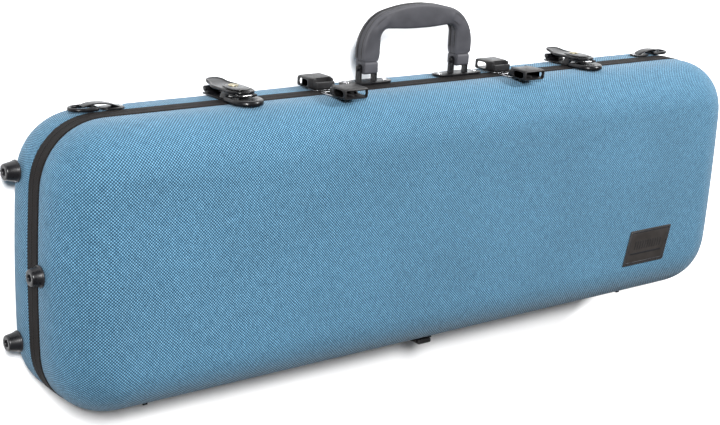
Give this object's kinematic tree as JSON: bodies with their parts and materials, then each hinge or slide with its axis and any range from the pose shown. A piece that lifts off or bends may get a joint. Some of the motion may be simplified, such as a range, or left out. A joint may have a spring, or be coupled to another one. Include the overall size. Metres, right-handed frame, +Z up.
{
  "type": "violin case",
  "caption": "Oblong hard violin case with fabric-covered half shells, folding handle, two latches, buckle sockets, strap rings, end bumpers and a padded interior.",
  "frame": {"origin": "middle of the base shell's flat resting face", "axes": "+X along the length, away from the end with the bumpers; +Y towards the carrying handle; +Z up through the lid"},
  "size_m": [0.822, 0.331, 0.1285],
  "materials": {
    "shell_fabric": "woven",
    "band_tape": "woven tape",
    "grip_plastic": "matte",
    "black_plastic": "satin",
    "black_steel": "gloss black",
    "bright_steel": "polished",
    "brass_trim": "satin",
    "bumper_rubber": "matte",
    "label_rubber": "embossed",
    "plush": "plush"
  },
  "bodies": {
    "base": {"base_shell": "shell_fabric", "base_rim": "band_tape", "violin_bed": "plush", "neck_rest": "plush", "handle_plate_left": "black_steel", "handle_pin_left": "black_steel", "latch_frame_left": "black_steel", "latch_pin_left": "bright_steel", "socket_plate_base_left": "black_steel", "socket_base_left": "black_plastic", "ring_plate_left": "black_steel", "hinge_leaf_base_left": "black_steel", "hinge_pin_left": "bright_steel", "handle_plate_right": "black_steel", "handle_pin_right": "black_steel", "latch_frame_right": "black_steel", "latch_pin_right": "bright_steel", "socket_plate_base_right": "black_steel", "socket_base_right": "black_plastic", "ring_plate_right": "black_steel", "hinge_leaf_base_right": "black_steel", "hinge_pin_right": "bright_steel", "bumper_upper": "bumper_rubber", "bumper_lower": "bumper_rubber"},
    "lid": {"lid_shell": "shell_fabric", "lid_rim": "band_tape", "lid_lining": "plush", "strap_plate_bottom": "black_steel", "strap_loop_bottom": "black_plastic", "bumper_middle": "bumper_rubber", "label_patch": "label_rubber", "latch_strike_left": "black_steel", "socket_plate_lid_left": "black_steel", "socket_lid_left": "black_plastic", "hinge_leaf_lid_left": "black_steel", "bow_pad_left": "plush", "latch_strike_right": "black_steel", "socket_plate_lid_right": "black_steel", "socket_lid_right": "black_plastic", "hinge_leaf_lid_right": "black_steel", "bow_pad_right": "plush"},
    "handle": {"handle_grip": "grip_plastic", "handle_end_left": "black_plastic", "handle_end_right": "black_plastic"},
    "lever_left": {"latch_lever_left": "black_steel", "latch_cover_left": "black_steel", "latch_boss_left": "brass_trim"},
    "ring_left": {"strap_ring_left": "black_steel"},
    "lever_right": {"latch_lever_right": "black_steel", "latch_cover_right": "black_steel", "latch_boss_right": "brass_trim"},
    "ring_right": {"strap_ring_right": "black_steel"},
    "compartment": {"compartment_lid": "plush"},
    "button_front": {"bow_button_front": "black_plastic"},
    "button_rear": {"bow_button_rear": "black_plastic"}
  },
  "joints": [
    {"name": "lid_hinge", "type": "hinge", "parent": "base", "child": "lid", "pos_m": [0, -0.1291, 0.063], "axis": [1, 0, 0], "range_deg": [0, 100]},
    {"name": "handle_pivot", "type": "hinge", "parent": "base", "child": "handle", "pos_m": [0, 0.1412, 0.05], "axis": [1, 0, 0], "range_deg": [-48, 85]},
    {"name": "latch_left", "type": "hinge", "parent": "base", "child": "lever_left", "pos_m": [-0.2115, 0.133, 0.0795], "axis": [1, 0, 0], "range_deg": [0, 90]},
    {"name": "latch_right", "type": "hinge", "parent": "base", "child": "lever_right", "pos_m": [0.2115, 0.133, 0.0795], "axis": [1, 0, 0], "range_deg": [0, 90]},
    {"name": "strap_ring_left", "type": "hinge", "parent": "base", "child": "ring_left", "pos_m": [-0.342, 0.1285, 0.048], "axis": [0, 0, -1], "range_deg": [0, 110]},
    {"name": "strap_ring_right", "type": "hinge", "parent": "base", "child": "ring_right", "pos_m": [0.342, 0.1285, 0.048], "axis": [0, 0, 1], "range_deg": [0, 110]},
    {"name": "compartment_hinge", "type": "hinge", "parent": "base", "child": "compartment", "pos_m": [0.144, 0.052, 0.0599], "axis": [1, 0, 0], "range_deg": [0, 80]},
    {"name": "bow_button_front", "type": "hinge", "parent": "lid", "child": "button_front", "pos_m": [0.25, 0.045, 0.1087], "axis": [0, 0, 1], "range_deg": [0, 90]},
    {"name": "bow_button_rear", "type": "hinge", "parent": "lid", "child": "button_rear", "pos_m": [0.25, -0.045, 0.1087], "axis": [0, 0, 1], "range_deg": [0, 90]}
  ]
}
